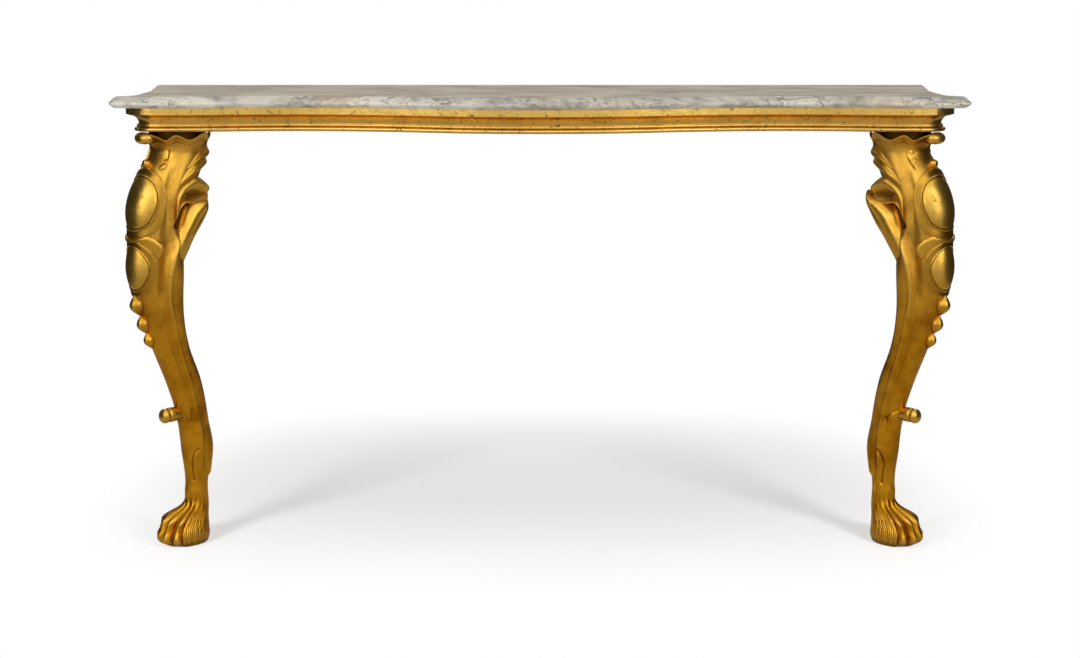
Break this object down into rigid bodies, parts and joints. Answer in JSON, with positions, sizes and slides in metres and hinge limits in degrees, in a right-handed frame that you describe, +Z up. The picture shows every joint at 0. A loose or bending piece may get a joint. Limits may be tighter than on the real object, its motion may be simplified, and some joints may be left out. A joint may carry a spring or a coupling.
{
  "type": "pier table",
  "caption": "Pier table: a serpentine marble slab on a moulded giltwood apron, with carved cabriole legs at the front and a rail fixed to the wall behind.",
  "frame": {"origin": "middle of the table's plan, on the floor", "axes": "+Z up, -Y to the front, +Y to the wall, +X to the right of someone facing the front"},
  "size_m": [1.66, 0.505, 0.9],
  "materials": {
    "marble": "polished",
    "giltwood": "satin, water gilt over bole",
    "pine": "sawn, dry",
    "oak": "riven, dry",
    "iron": "forged, dull"
  },
  "bodies": {
    "frame": {"front_rail": "giltwood", "side_rail_left": "giltwood", "leg_post_left": "giltwood", "capital_left": "giltwood", "upper_cabochon_left": "giltwood", "lower_cabochon_left": "giltwood", "garter_leaf_left": "giltwood", "husk_drop_left": "giltwood", "pearl_left": "giltwood", "shin_scroll_left": "giltwood", "knee_leaves_left": "giltwood", "paw_left": "giltwood", "side_rail_right": "giltwood", "leg_post_right": "giltwood", "capital_right": "giltwood", "upper_cabochon_right": "giltwood", "lower_cabochon_right": "giltwood", "garter_leaf_right": "giltwood", "husk_drop_right": "giltwood", "pearl_right": "giltwood", "shin_scroll_right": "giltwood", "knee_leaves_right": "giltwood", "paw_right": "giltwood", "back_rail": "pine", "bearer_blocks": "pine", "cross_bearer_left": "pine", "cross_bearer_middle": "pine", "cross_bearer_right": "pine", "front_corner_block_left": "pine", "rear_corner_block_left": "pine", "front_corner_block_right": "pine", "rear_corner_block_right": "pine", "rail_pegs": "oak", "foot_dowels": "oak", "block_screws": "iron", "plate_screws": "iron", "leg_bolts": "iron", "leg_washers": "iron", "leg_nuts": "iron", "wall_plate_left": "iron", "wall_plate_right": "iron"},
    "top": {"marble_top": "marble"}
  },
  "joints": [
    {"name": "top_lift", "type": "slide", "parent": "frame", "child": "top", "axis": [0, 0, 1], "range_m": [0, 0.12]}
  ]
}
